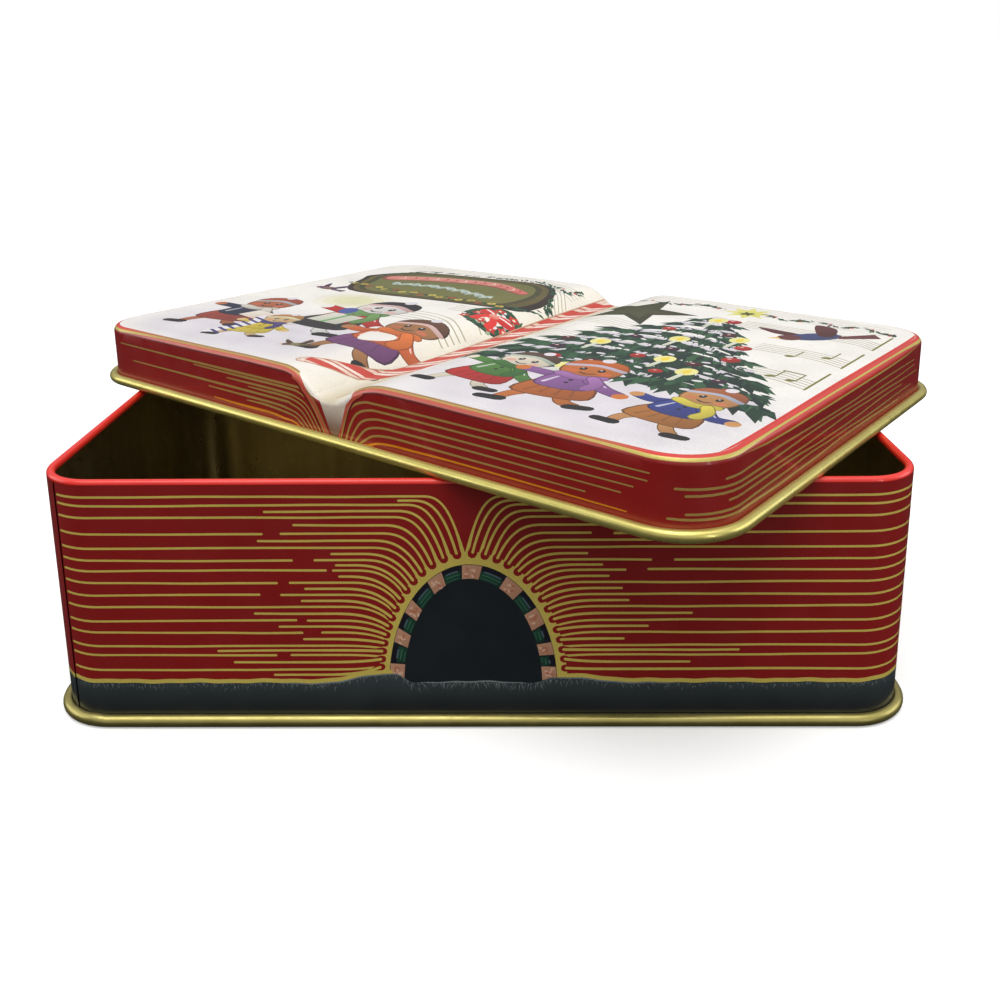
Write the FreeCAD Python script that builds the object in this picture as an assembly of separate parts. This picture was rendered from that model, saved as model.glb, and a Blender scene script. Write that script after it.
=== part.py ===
import FreeCAD, Part

import math
import os

from FreeCAD import Vector

# A cookie tin with a lid shaped like an open book, in millimetres. +Z is up and +X runs along the long side.
# The origin is the middle of the footprint, on the surface that the tin stands on.

# Tin body: the outside of the printed wall
WIDTH = 220.0
DEPTH = 146.0
RIM_HEIGHT = 67.0
CORNER_RADIUS = 14.0
SHEET = 0.3

# Rim rolled inwards, and the wall's flange inside the base seam
RIM_ROLL_RADIUS = 1.1
RIM_ROLL_TURN = 290.0
FLANGE_HEIGHT = 1.2
FLANGE_BEND = 0.4
FLANGE_REACH = 1.5

# Lock seam that closes the wall at the front left corner
LOCK_SEAM_WIDTH = 4.0
LOCK_SEAM_THICKNESS = 0.6
LOCK_SEAM_ANGLE = 232.0
LOCK_SEAM_BOTTOM = 4.0
LOCK_SEAM_TOP = 64.0

# Base plate: a panel sunk inside the wall, and its edge folded round the flange
PANEL_HEIGHT = 2.7
PANEL_BEND = 0.6
SEAM_RADIUS = 1.6
SEAM_CENTRE_REACH = 0.8
SEAM_TURN = 110.0
BASE_GAP = 0.1

# Lid, in its own frame: its height zero is the middle of the curl
LID_CLEARANCE = 0.7
CURL_RADIUS = 1.5
CURL_TURN = 120.0
SKIRT_JOIN = 4.0
SHOULDER_RADIUS = 2.0

# Book pages: heights of the outer face above the middle of the curl
PAGE_HEIGHT = 17.2
GUTTER_HEIGHT = 10.9
GUTTER_CENTRE = -2.0
GUTTER_FLOOR_HALF = 5.0
PAGE_ROLL_RADIUS = 15.0
PAGE_ROLL_RISE = 0.3

# The lid lies askew on the rim
LID_TURN = -37.6
LID_OFFSET_X = 5.5
LID_OFFSET_Y = 11.6
LID_REST_GAP = 0.1


def line(a, b):
    return Part.LineSegment(Vector(a[0], 0, a[1]), Vector(b[0], 0, b[1])).toShape()


def arc(centre, radius, start, end):
    """An arc in the section plane, from one angle to another, in degrees."""

    def at(angle):
        turn = math.radians(angle)
        return Vector(centre[0] + radius * math.cos(turn), 0, centre[1] + radius * math.sin(turn))

    return Part.Arc(at(start), at((start + end) / 2), at(end)).toShape()


def sheet_section(edges, side):
    """The section of a sheet: one face of it is the path of edges, and it lies on one side of that path."""
    return Part.Wire(edges).makeOffset2D(side * SHEET, 0, True, True)


def ring(section):
    """Takes a section round the tin. Its X is the distance outside the wall's outer face."""
    straight_x = WIDTH - 2 * CORNER_RADIUS
    straight_y = DEPTH - 2 * CORNER_RADIUS
    pieces = []
    for turn, reach, run in (
        (0, WIDTH / 2, straight_y),
        (90, DEPTH / 2, straight_x),
        (180, WIDTH / 2, straight_y),
        (270, DEPTH / 2, straight_x),
    ):
        side = section.copy()
        side.translate(Vector(reach, -run / 2, 0))
        side = side.extrude(Vector(0, run, 0))
        side.rotate(Vector(), Vector(0, 0, 1), turn)
        pieces.append(side)
    for turn, x, y in (
        (0, straight_x / 2, straight_y / 2),
        (90, -straight_x / 2, straight_y / 2),
        (180, -straight_x / 2, -straight_y / 2),
        (270, straight_x / 2, -straight_y / 2),
    ):
        corner = section.copy()
        corner.translate(Vector(CORNER_RADIUS, 0, 0))
        corner = corner.revolve(Vector(), Vector(0, 0, 1), 90)
        corner.rotate(Vector(), Vector(0, 0, 1), turn)
        corner.translate(Vector(x, y, 0))
        pieces.append(corner)
    return pieces[0].fuse(pieces[1:]).removeSplitter()


def rounded_slab(outset, low, high):
    """A rounded rectangle that stands outside the wall's outer face by outset, between two heights."""
    half_x = WIDTH / 2 + outset
    half_y = DEPTH / 2 + outset
    radius = CORNER_RADIUS + outset
    slab = Part.makeBox(2 * half_x, 2 * half_y, high - low, Vector(-half_x, -half_y, low))
    upright = [e for e in slab.Edges if abs(e.Vertexes[0].Z - e.Vertexes[-1].Z) > (high - low) / 2]
    return slab.makeFillet(radius, upright)


def body_wall():
    roll = (-RIM_ROLL_RADIUS, RIM_HEIGHT - RIM_ROLL_RADIUS)
    bend = (FLANGE_BEND, FLANGE_HEIGHT + FLANGE_BEND)
    path = [
        line((FLANGE_REACH, FLANGE_HEIGHT), (FLANGE_BEND, FLANGE_HEIGHT)),
        arc(bend, FLANGE_BEND, 270, 180),
        line((0, bend[1]), (0, roll[1])),
        arc(roll, RIM_ROLL_RADIUS, 0, RIM_ROLL_TURN),
    ]
    wall = ring(sheet_section(path, 1))
    return wall.fuse(lock_seam()).removeSplitter()


def lock_seam():
    """The folded ends of the sheet, which lie against the inside of the rounded corner."""
    outer = CORNER_RADIUS - SHEET / 2
    inner = CORNER_RADIUS - SHEET - LOCK_SEAM_THICKNESS
    span = math.degrees(LOCK_SEAM_WIDTH / CORNER_RADIUS)
    height = LOCK_SEAM_TOP - LOCK_SEAM_BOTTOM
    fold = Part.makeCylinder(outer, height, Vector(), Vector(0, 0, 1), span)
    fold = fold.cut(Part.makeCylinder(inner, height))
    fold.rotate(Vector(), Vector(0, 0, 1), LOCK_SEAM_ANGLE - span / 2)
    fold.translate(Vector(CORNER_RADIUS - WIDTH / 2, CORNER_RADIUS - DEPTH / 2, LOCK_SEAM_BOTTOM))
    return fold


def base_plate():
    """The panel, the step down inside the wall and the seam that folds round the flange."""
    step = -SHEET - BASE_GAP - SHEET
    upper = (step - PANEL_BEND, PANEL_HEIGHT - PANEL_BEND)
    lower = (step + PANEL_BEND, PANEL_BEND)
    seam = (SEAM_CENTRE_REACH, SEAM_RADIUS)
    panel_edge = upper[0] - PANEL_BEND
    path = [
        line((panel_edge, PANEL_HEIGHT), (upper[0], PANEL_HEIGHT)),
        arc(upper, PANEL_BEND, 90, 0),
        line((step, upper[1]), (step, lower[1])),
        arc(lower, PANEL_BEND, 180, 270),
        line((lower[0], 0), (seam[0], 0)),
        arc(seam, SEAM_RADIUS, -90, SEAM_TURN),
    ]
    panel = rounded_slab(panel_edge, PANEL_HEIGHT, PANEL_HEIGHT + SHEET)
    return ring(sheet_section(path, 1)).fuse(panel).removeSplitter()


def gutter(drop):
    """The valley between the pages, whose edges roll down to a flat floor. drop moves its faces under the sheet."""
    radius = PAGE_ROLL_RADIUS - drop
    floor = GUTTER_HEIGHT - drop
    axis_height = PAGE_HEIGHT + PAGE_ROLL_RISE - PAGE_ROLL_RADIUS
    above = PAGE_HEIGHT + SHOULDER_RADIUS
    rise = GUTTER_HEIGHT - axis_height
    spread = GUTTER_FLOOR_HALF + math.sqrt(PAGE_ROLL_RADIUS**2 - rise**2)
    turn = math.degrees(math.asin((floor - axis_height) / radius))
    foot = spread - radius * math.cos(math.radians(turn))
    left = GUTTER_CENTRE - spread
    right = GUTTER_CENTRE + spread
    outline = Part.Wire([
        line((left, above), (left, axis_height + radius)),
        arc((left, axis_height), radius, 90, turn),
        line((GUTTER_CENTRE - foot, floor), (GUTTER_CENTRE + foot, floor)),
        arc((right, axis_height), radius, 180 - turn, 90),
        line((right, axis_height + radius), (right, above)),
        line((right, above), (left, above)),
    ])
    valley = Part.Face(outline).extrude(Vector(0, 2 * DEPTH, 0))
    valley.translate(Vector(0, -DEPTH, 0))
    return valley


def book_block(outset, drop):
    """The solid under the pages, rounded along its shoulder and cut by the gutter."""
    top = PAGE_HEIGHT - drop
    slab = rounded_slab(outset, SKIRT_JOIN, top)
    shoulder = [e for e in slab.Edges if e.BoundBox.ZMin > (SKIRT_JOIN + top) / 2]
    return slab.makeFillet(SHOULDER_RADIUS - drop, shoulder).cut(gutter(drop))


def lid():
    inner = LID_CLEARANCE
    outer = LID_CLEARANCE + SHEET
    curl = (inner + CURL_RADIUS, 0)
    path = [
        line((inner, SKIRT_JOIN), (inner, 0)),
        arc(curl, CURL_RADIUS, 180, 360 + CURL_TURN),
    ]
    skirt = ring(sheet_section(path, 1))
    pages = book_block(outer, 0)
    hollow = book_block(inner, SHEET)
    shape = pages.cut(hollow).fuse(skirt).removeSplitter()
    shape.rotate(Vector(), Vector(0, 0, 1), LID_TURN)
    shape.translate(Vector(LID_OFFSET_X, LID_OFFSET_Y, RIM_HEIGHT + LID_REST_GAP + CURL_RADIUS))
    return shape


def main():
    os.makedirs("parts", exist_ok=True)
    for name, make in (("body_wall", body_wall), ("base_plate", base_plate), ("lid", lid)):
        shape = make()
        if len(shape.Solids) == 1:
            shape = shape.Solids[0]
        box = shape.BoundBox
        print(name, "valid", shape.isValid(), "volume", round(shape.Volume, 1))
        print("  from", round(box.XMin, 2), round(box.YMin, 2), round(box.ZMin, 2))
        print("  to", round(box.XMax, 2), round(box.YMax, 2), round(box.ZMax, 2))
        shape.exportStep(os.path.join("parts", name + ".step"))


main()
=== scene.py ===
import math

import bpy
import numpy as np
from mathutils import Matrix, Vector
from mathutils.geometry import delaunay_2d_cdt


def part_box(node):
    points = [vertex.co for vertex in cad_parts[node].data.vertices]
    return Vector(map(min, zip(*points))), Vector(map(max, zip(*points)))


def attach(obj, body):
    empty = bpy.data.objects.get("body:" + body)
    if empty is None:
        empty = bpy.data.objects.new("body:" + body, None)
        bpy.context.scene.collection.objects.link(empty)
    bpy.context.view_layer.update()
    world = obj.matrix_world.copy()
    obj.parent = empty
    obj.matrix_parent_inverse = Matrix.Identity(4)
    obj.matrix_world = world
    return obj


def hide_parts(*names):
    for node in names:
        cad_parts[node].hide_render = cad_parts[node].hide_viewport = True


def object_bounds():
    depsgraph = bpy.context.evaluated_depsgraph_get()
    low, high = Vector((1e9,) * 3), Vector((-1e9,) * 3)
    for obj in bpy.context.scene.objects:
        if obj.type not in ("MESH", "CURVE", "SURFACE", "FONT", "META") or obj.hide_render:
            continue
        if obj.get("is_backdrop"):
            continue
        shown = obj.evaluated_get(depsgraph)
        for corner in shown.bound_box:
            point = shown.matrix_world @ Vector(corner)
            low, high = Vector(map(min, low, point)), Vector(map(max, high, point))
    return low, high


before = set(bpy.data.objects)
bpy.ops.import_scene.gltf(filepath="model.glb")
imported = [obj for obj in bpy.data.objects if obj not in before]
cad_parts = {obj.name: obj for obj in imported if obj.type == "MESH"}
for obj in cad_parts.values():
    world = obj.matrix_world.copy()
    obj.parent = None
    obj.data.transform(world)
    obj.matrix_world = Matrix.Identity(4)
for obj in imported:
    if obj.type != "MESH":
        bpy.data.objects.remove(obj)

# A cookie tin with a lid stamped and printed like an open book. Walls and pages are printed sheets: flat
# artwork is cut into triangles and wrapped onto the metal. Lengths are millimetres, and metres in the studio.

CAD_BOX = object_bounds()
MM = 0.001
RANDOM = np.random.default_rng(12)

# ---------------------------------------------------------------- sizes

CORNER = 14.0
SHEET = 0.3
FLANGE_REACH = 1.5
ROLL_RADIUS = 1.1
PANEL_HEIGHT = 2.7
SEAM_RADIUS = 1.6
SEAM_REACH = 0.8
CURL_RADIUS = 1.5
LID_CLEARANCE = 0.7
SHOULDER = 2.0
PAGE_ROLL_LEFT = 16.0
PAGE_ROLL_RIGHT = 25.0
GUTTER_X = -1.4
FOLD_X = 0.4
GUTTER_FLOOR_HALF = 4.6
GUTTER_DEPTH = 6.3
LID_TURN = math.radians(-37.6)
SEAM_ANGLE = math.radians(232.0)

WALL_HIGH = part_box("body_wall")[1]
LID_LOW, LID_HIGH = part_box("lid")
HALF_X = WALL_HIGH.x / MM - FLANGE_REACH
HALF_Y = WALL_HIGH.y / MM - FLANGE_REACH
RIM = WALL_HIGH.z / MM
LID_CENTRE = (LID_LOW + LID_HIGH) / 2 / MM
CURL_HEIGHT = LID_LOW.z / MM + CURL_RADIUS
PAGE_HEIGHT = (LID_HIGH.z - LID_LOW.z) / MM - CURL_RADIUS
LID_OUTER = LID_CLEARANCE + SHEET
WALL_PRINT_LOW = 2.9
SKIRT_LOW = 0.8
SKIRT_OVERLAP = 0.15
TUCK_ANGLE = 0.3
SEAM_RIDGE, SEAM_RIDGE_WIDTH = 0.22, 1.4

# How the pages bulge: a soft foot beside the gutter, a crown, and a sag towards the outer edge
FOOT_RISE, FOOT_WIDTH = 0.5, 1.6
CROWN_RISE, CROWN_AT, CROWN_WIDTH, CROWN_FADE = 0.35, 30, 18, 3
EDGE_SAG, SAG_FROM, SAG_WIDTH = 0.3, 60, 50

# Distance round the tin's outline: zero is the middle of the front, and it grows to the right
STRAIGHT_X = HALF_X - CORNER
STRAIGHT_Y = HALF_Y - CORNER
BEND = CORNER * math.pi / 2
RUNS = [STRAIGHT_X, BEND, 2 * STRAIGHT_Y, BEND, 2 * STRAIGHT_X, BEND, 2 * STRAIGHT_Y, BEND, STRAIGHT_X]
STOPS = np.concatenate([[0.0], np.cumsum(RUNS)])
PERIMETER = STOPS[-1]
CENTRES_X = STRAIGHT_X * np.array([0, 1, 1, 1, 1, -1, -1, -1, -1, 0])
CENTRES_Y = STRAIGHT_Y * np.array([-1, -1, -1, 1, 1, 1, 1, -1, -1, -1])
TURNS = math.pi / 2 * np.array([-1, -1, 0, 0, 1, 1, 2, 2, 3, 3])
CORNER_MIDDLES = [STOPS[2 * i + 1] + BEND / 2 for i in range(4)]
SEAM_S = PERIMETER - STRAIGHT_X - (3 * math.pi / 2 - SEAM_ANGLE) * CORNER


def around(s, out):
    """Points that stand out from the wall's outer face, at distances s round the outline."""
    s = np.asarray(s, float) % PERIMETER
    angle = np.interp(s, STOPS, TURNS)
    x = np.interp(s, STOPS, CENTRES_X) + (CORNER + out) * np.cos(angle)
    y = np.interp(s, STOPS, CENTRES_Y) + (CORNER + out) * np.sin(angle)
    return x, y


def ring_stops(step=9.0, bends=14):
    """Distances round the outline, closer together in the rounded corners."""
    stops = []
    for i, run in enumerate(RUNS):
        count = bends if i % 2 else max(2, round(run / step))
        stops.extend(STOPS[i] + run * np.arange(count) / count)
    return np.array(stops)


def page_height(x):
    """Height of the pages above the middle of the curl. They roll down to the gutter's floor."""
    x = np.asarray(x, float)
    away = np.abs(x - GUTTER_X)
    roll = np.where(x < GUTTER_X, PAGE_ROLL_LEFT, PAGE_ROLL_RIGHT)
    reach = np.sqrt(roll**2 - (roll - GUTTER_DEPTH) ** 2)
    inside = np.clip(GUTTER_FLOOR_HALF + reach - away, 0, reach)
    fall = roll - np.sqrt(roll**2 - inside**2)
    soften = FOOT_RISE * np.exp(-(((away - GUTTER_FLOOR_HALF) / FOOT_WIDTH) ** 2))
    crown = CROWN_RISE * np.exp(-(((away - CROWN_AT) / CROWN_WIDTH) ** 2))
    crown = crown - EDGE_SAG * np.clip((away - SAG_FROM) / SAG_WIDTH, 0, 1)
    return PAGE_HEIGHT - fall + soften + crown * np.clip(1 - fall / CROWN_FADE, 0, 1)


def lid_to_tin(x, y, z):
    """Puts points of the lid's own frame where the lid lies on the rim."""
    turned_x = x * math.cos(LID_TURN) - y * math.sin(LID_TURN)
    turned_y = x * math.sin(LID_TURN) + y * math.cos(LID_TURN)
    return np.column_stack([turned_x + LID_CENTRE.x, turned_y + LID_CENTRE.y, z + CURL_HEIGHT])


# ---------------------------------------------------------------- where printed sheets lie


def on_wall(s, z):
    """The wall's outside. The sheet's edge stands a little proud just left of the lock seam."""
    before = (SEAM_S - np.asarray(s) % PERIMETER) / SEAM_RIDGE_WIDTH
    ridge = SEAM_RIDGE * np.exp(-(before**2)) * (before > 0)
    x, y = around(s, ridge)
    return np.column_stack([x, y, z])


def skirt_point(s, h, inset):
    """The lid's skirt, up, round the shoulder and just under the page. h is measured along the metal."""
    x_edge, _ = around(s, LID_OUTER)
    foot = page_height(x_edge) - SHOULDER
    turn = np.clip((h - foot) / SHOULDER, 0, math.pi / 2 + TUCK_ANGLE)
    x, y = around(s, LID_OUTER - inset - SHOULDER * (1 - np.cos(turn)))
    z = np.where(h < foot, h, foot + SHOULDER * np.sin(turn))
    return lid_to_tin(x, y, z - inset * np.sin(turn))


def on_skirt(s, h):
    return skirt_point(s, h, 0.0)


def on_page(x, y):
    return lid_to_tin(x, y, page_height(x))


def under_page(x, y):
    return lid_to_tin(x, y, page_height(x) - SHEET)


# ---------------------------------------------------------------- flat artwork


def ink(red, green, blue):
    """A printing ink, from its 0 to 255 screen values, as linear light."""
    return tuple((v / 255) ** 2.2 for v in (red, green, blue))


def darker(colour, share):
    return tuple(share * c for c in colour)


def mixed(first, second, share):
    """Two colours mixed. The share of the second one can differ from point to point."""
    share = np.asarray(share)[..., None]
    return np.array(first) * (1 - share) + np.array(second) * share


def smooth(points, closed=False, steps=5):
    """A flowing line through a few points."""
    p = np.asarray(points, float)
    if closed:
        p = np.vstack([p[-1], p, p[0], p[1]])
    else:
        p = np.vstack([2 * p[0] - p[1], p, 2 * p[-1] - p[-2]])
    t = np.arange(steps)[:, None] / steps
    line = []
    for a, b, c, d in zip(p, p[1:], p[2:], p[3:]):
        curve = 2 * b + (c - a) * t + (2 * a - 5 * b + 4 * c - d) * t**2 + (3 * b - a - 3 * c + d) * t**3
        line.append(curve / 2)
    if not closed:
        line.append(p[-2:-1])
    return np.vstack(line)


def place(points, x, y, turn=0.0, size=1.0):
    """Turns points, in degrees, scales them and moves them to x, y."""
    p = np.asarray(points, float) * size
    c, s = math.cos(math.radians(turn)), math.sin(math.radians(turn))
    return np.column_stack([x + p[:, 0] * c - p[:, 1] * s, y + p[:, 0] * s + p[:, 1] * c])


def oval(x, y, rx, ry=None, turn=0.0, count=16):
    t = np.arange(count) * 2 * math.pi / count
    return place(np.column_stack([rx * np.cos(t), (ry or rx) * np.sin(t)]), x, y, turn)


ROUND_END = ((0.7, 0.7), (1, 0), (0.7, -0.7))


def stroke(points, *widths, steps=5):
    """The outline of a brush stroke along a flowing line. Its width runs through the given widths."""
    line = smooth(points, steps=steps)
    way = np.gradient(line, axis=0)
    way /= np.maximum(np.linalg.norm(way, axis=1), 1e-6)[:, None]
    side = np.column_stack([-way[:, 1], way[:, 0]])
    along = np.linspace(0, 1, len(line))
    half = np.interp(along, np.linspace(0, 1, len(widths)), widths)[:, None] / 2
    start = [line[:1] + (-way[:1] * a + side[:1] * b) * half[0] for a, b in ROUND_END]
    end = [line[-1:] + (way[-1:] * a - side[-1:] * b) * half[-1] for a, b in ROUND_END]
    return np.vstack([*start, line - side * half, *end, (line + side * half)[::-1]])


def star(x, y, outer, inner, points=5, turn=90.0):
    t = np.radians(turn) + np.arange(2 * points) * math.pi / points
    r = np.where(np.arange(2 * points) % 2, inner, outer)
    return np.column_stack([x + r * np.cos(t), y + r * np.sin(t)])


def divided(ring, longest=3.0):
    """The outline with points added, so that its edges can follow a bent sheet."""
    ahead = np.roll(ring, -1, axis=0)
    counts = np.ceil(np.linalg.norm(ahead - ring, axis=1) / longest + 1e-9).astype(int)
    return np.vstack([a + (b - a) * np.arange(n)[:, None] / n for a, b, n in zip(ring, ahead, counts)])


def covered(ring, x, y):
    """Which points the outline ring winds round."""
    x0, y0 = ring[:, 0], ring[:, 1]
    x1, y1 = np.roll(x0, -1), np.roll(y0, -1)
    left = (x1 - x0) * (y[:, None] - y0) - (y1 - y0) * (x[:, None] - x0)
    up = (y0 <= y[:, None]) & (y1 > y[:, None]) & (left > 0)
    down = (y1 <= y[:, None]) & (y0 > y[:, None]) & (left < 0)
    return (up.sum(1) - down.sum(1)) != 0


class Artwork:
    """Shapes in the order that they are painted, over a ground colour."""

    def __init__(self, outline, ground, grid):
        self.outline = np.asarray(outline, float)
        self.shapes = []
        self.paints = [(ground, 0.0)]
        self.grid = grid

    def fill(self, ring, colour, metal=0.0, dark=None):
        """Adds a shape. With a second colour it is shaded, from its upper left to its lower right."""
        ring = np.asarray(ring, float)
        if dark:
            low, size = ring.min(axis=0), np.ptp(ring, axis=0) + 1e-6
            light = colour

            def colour(x, y):
                across = (x - low[0]) / size[0] - (y - low[1]) / size[1]
                return mixed(light, dark, np.clip(0.5 + 0.5 * across, 0, 1))

        self.shapes.append(divided(ring))
        self.paints.append((colour, metal))

    def cut(self):
        """Triangles whose borders follow every shape, and the topmost shape of each."""
        points, edges = [], []
        for ring in [self.outline, *self.shapes]:
            first, count = len(points), len(ring)
            points.extend(ring)
            edges.extend((first + i, first + (i + 1) % count) for i in range(count))
        points.extend(self.grid)
        made = delaunay_2d_cdt([Vector(p) for p in points], edges, [], 0, 1e-5)
        flat = np.array([tuple(v) for v in made[0]])
        corners = np.array(made[2])
        middle = flat[corners].mean(axis=1)
        inside = covered(self.outline, middle[:, 0], middle[:, 1])
        corners, middle = corners[inside], middle[inside]
        top = np.zeros(len(corners), int)
        for number, ring in enumerate(self.shapes, 1):
            low, high = ring.min(axis=0), ring.max(axis=0)
            near = np.flatnonzero(((middle > low) & (middle < high)).all(axis=1))
            hit = covered(ring, middle[near, 0], middle[near, 1])
            top[near[hit]] = number
        return flat, corners, top

    def colours(self, flat, corners, top):
        """Red, green, blue and metal for each corner of each triangle."""
        rgba = np.zeros((len(corners), 3, 4))
        for number in np.unique(top):
            colour, metal = self.paints[number]
            mine = top == number
            at = flat[corners[mine]]
            rgba[mine, :, :3] = colour(at[..., 0], at[..., 1]) if callable(colour) else colour
            rgba[mine, :, 3] = metal
        return rgba


# ---------------------------------------------------------------- meshes


def make_mesh(name, body, points, faces, material):
    """One smooth piece, in metres, that rides on its body."""
    mesh = bpy.data.meshes.new(name)
    mesh.from_pydata((np.asarray(points) * MM).tolist(), [], [list(map(int, f)) for f in faces])
    mesh.validate()
    mesh.polygons.foreach_set("use_smooth", [True] * len(mesh.polygons))
    mesh.materials.append(material)
    piece = bpy.data.objects.new(name, mesh)
    bpy.context.scene.collection.objects.link(piece)
    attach(piece, body)
    return piece


def printed(name, body, artwork, wrap, material):
    """Cuts the artwork, wraps it onto the metal and keeps its inks as corner colours."""
    flat, corners, top = artwork.cut()
    used, corners = np.unique(corners, return_inverse=True)
    corners = corners.reshape(-1, 3)
    flat = flat[used]
    u, v = flat[:, 0], flat[:, 1]
    step = 0.02
    along = wrap(u + step, v) - wrap(u - step, v)
    across = wrap(u, v + step) - wrap(u, v - step)
    normals = np.cross(along, across)
    normals /= np.linalg.norm(normals, axis=1)[:, None]
    piece = make_mesh(name, body, wrap(u, v), corners, material)
    rgba = artwork.colours(flat, corners, top)
    layer = piece.data.color_attributes.new("ink", "FLOAT_COLOR", "CORNER")
    layer.data.foreach_set("color", rgba.astype(np.float32).ravel())
    piece.data.normals_split_custom_set_from_vertices(normals.tolist())
    return piece


def ring_faces(count, width, closed=False, inward=False):
    """Faces between the neighbouring sections of a ring. Each section has width points."""
    faces = []
    for i in range(count):
        for j in range(width if closed else width - 1):
            a, b = i * width + j, i * width + (j + 1) % width
            c, d = (i + 1) % count * width + (j + 1) % width, (i + 1) % count * width + j
            faces.append((a, b, c, d) if inward else (a, d, c, b))
    return faces


def sweep(name, body, section, material, closed=False, caps=False, wobble=None):
    """Takes a section of points, each a reach out from the wall and a height, round the outline."""
    stops = ring_stops()
    section = np.asarray(section, float)
    width, count = len(section), len(stops)
    points = []
    for s in stops:
        reach, height = section[:, 0], section[:, 1]
        if wobble:
            reach, height = wobble(s, reach, height)
        x, y = around(np.full(width, s), reach)
        points.append(np.column_stack([x, y, height]))
    faces = ring_faces(count, width, closed)
    if caps:
        faces.append([i * width for i in reversed(range(count))])
        faces.append([i * width + width - 1 for i in range(count)])
    points = np.vstack(points)
    if body == "lid":
        points = lid_to_tin(points[:, 0], points[:, 1], points[:, 2])
    return make_mesh(name, body, points, faces, material)


def circle(x, y, radius, start, end, steps):
    """Points along an arc, between two angles in degrees."""
    t = np.radians(np.linspace(start, end, steps))
    return [(x + radius * math.cos(a), y + radius * math.sin(a)) for a in t]


# ---------------------------------------------------------------- materials


class Nodes:
    """A material's node tree, with short ways to add to it."""

    def __init__(self, name):
        self.material = bpy.data.materials.new(name)
        self.material.use_nodes = True
        self.tree = self.material.node_tree
        self.shader = self.tree.nodes["Principled BSDF"]
        self.place = self.add("ShaderNodeTexCoord").outputs["Object"]

    def add(self, kind, **settings):
        made = self.tree.nodes.new(kind)
        for key, value in settings.items():
            setattr(made, key, value)
        return made

    def link(self, output, socket):
        self.tree.links.new(output, socket)

    def noise(self, scale, detail=3.0, stretch=None):
        made = self.add("ShaderNodeTexNoise")
        made.inputs["Scale"].default_value = scale
        made.inputs["Detail"].default_value = detail
        start = self.place
        if stretch:
            mapping = self.add("ShaderNodeMapping")
            mapping.inputs["Scale"].default_value = stretch
            self.link(self.place, mapping.inputs["Vector"])
            start = mapping.outputs["Vector"]
        self.link(start, made.inputs["Vector"])
        return made.outputs["Fac"]

    def spread(self, value, low, high):
        """Maps a noise value onto a range."""
        made = self.add("ShaderNodeMapRange")
        made.inputs["From Min"].default_value = 0.3
        made.inputs["From Max"].default_value = 0.7
        made.inputs["To Min"].default_value = low
        made.inputs["To Max"].default_value = high
        self.link(value, made.inputs["Value"])
        return made.outputs["Result"]

    def blend(self, factor, first, second, mode="MIX"):
        made = self.add("ShaderNodeMix", data_type="RGBA", blend_type=mode)
        for value, socket in ((factor, made.inputs[0]), (first, made.inputs[6]), (second, made.inputs[7])):
            if isinstance(value, (int, float, tuple)):
                socket.default_value = value
            else:
                self.link(value, socket)
        return made.outputs[2]

    def bump(self, value, distance, strength=1.0):
        made = self.add("ShaderNodeBump")
        made.inputs["Strength"].default_value = strength
        made.inputs["Distance"].default_value = distance
        self.link(value, made.inputs["Height"])
        self.link(made.outputs["Normal"], self.shader.inputs["Normal"])

    def set(self, **values):
        for key, value in values.items():
            self.shader.inputs[key.replace("_", " ")].default_value = value


def grey(value):
    return (value, value, value, 1)


def print_material(name, roughness, coat):
    """Litho ink under varnish: the ink attribute, a little uneven, with gold ink as metal."""
    n = Nodes(name)
    inks = n.add("ShaderNodeAttribute", attribute_name="ink")
    cloud = n.blend(n.spread(n.noise(60.0), 0.0, 1.0), grey(0.94), grey(1.03))
    grain = n.blend(n.spread(n.noise(2600.0, 1.0), 0.0, 1.0), grey(0.93), grey(1.05))
    colour = n.blend(1.0, n.blend(1.0, inks.outputs["Color"], cloud, "MULTIPLY"), grain, "MULTIPLY")
    n.link(colour, n.shader.inputs["Base Color"])
    n.link(inks.outputs["Alpha"], n.shader.inputs["Metallic"])
    n.link(n.spread(n.noise(140.0), roughness - 0.05, roughness + 0.07), n.shader.inputs["Roughness"])
    n.bump(n.noise(420.0, 2.0), 0.00002, 0.6)
    n.set(Coat_Weight=coat, Coat_Roughness=0.08, Coat_IOR=1.5)
    return n.material


def plain_material(name, first, second, roughness, metallic, coat, streak=None):
    """Lacquered metal whose colour drifts between two shades."""
    n = Nodes(name)
    drift = n.spread(n.noise(90.0, 4.0, streak), 0.0, 1.0)
    n.link(n.blend(drift, (*first, 1), (*second, 1)), n.shader.inputs["Base Color"])
    n.link(n.spread(n.noise(300.0), roughness - 0.05, roughness + 0.08), n.shader.inputs["Roughness"])
    n.bump(n.noise(300.0, 2.0), 0.00002, 0.2)
    n.set(Metallic=metallic, Coat_Weight=coat, Coat_Roughness=0.1)
    return n.material


# ---------------------------------------------------------------- inks

RED = ink(150, 33, 31)
# Painted light: the rim roll's red is a lighter copy of the wall's red, for the rim that faces up to the
# light
LIT_RIM_RED = ink(246, 54, 44)
BRIGHT_RED = ink(214, 60, 52)
SALMON = ink(206, 92, 74)
GOLD = ink(246, 220, 108)
SLATE = ink(62, 70, 72)
DEEP_SLATE = ink(30, 33, 36)
NIGHT = ink(34, 40, 44)
GRASS = ink(132, 140, 140)
MOSS = ink(84, 92, 94)
LEAF = ink(42, 80, 62)
DIM_GOLD = ink(190, 158, 88)
YELLOW_GOLD = ink(208, 190, 96)
BROWN_GOLD = ink(158, 118, 66)
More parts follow.
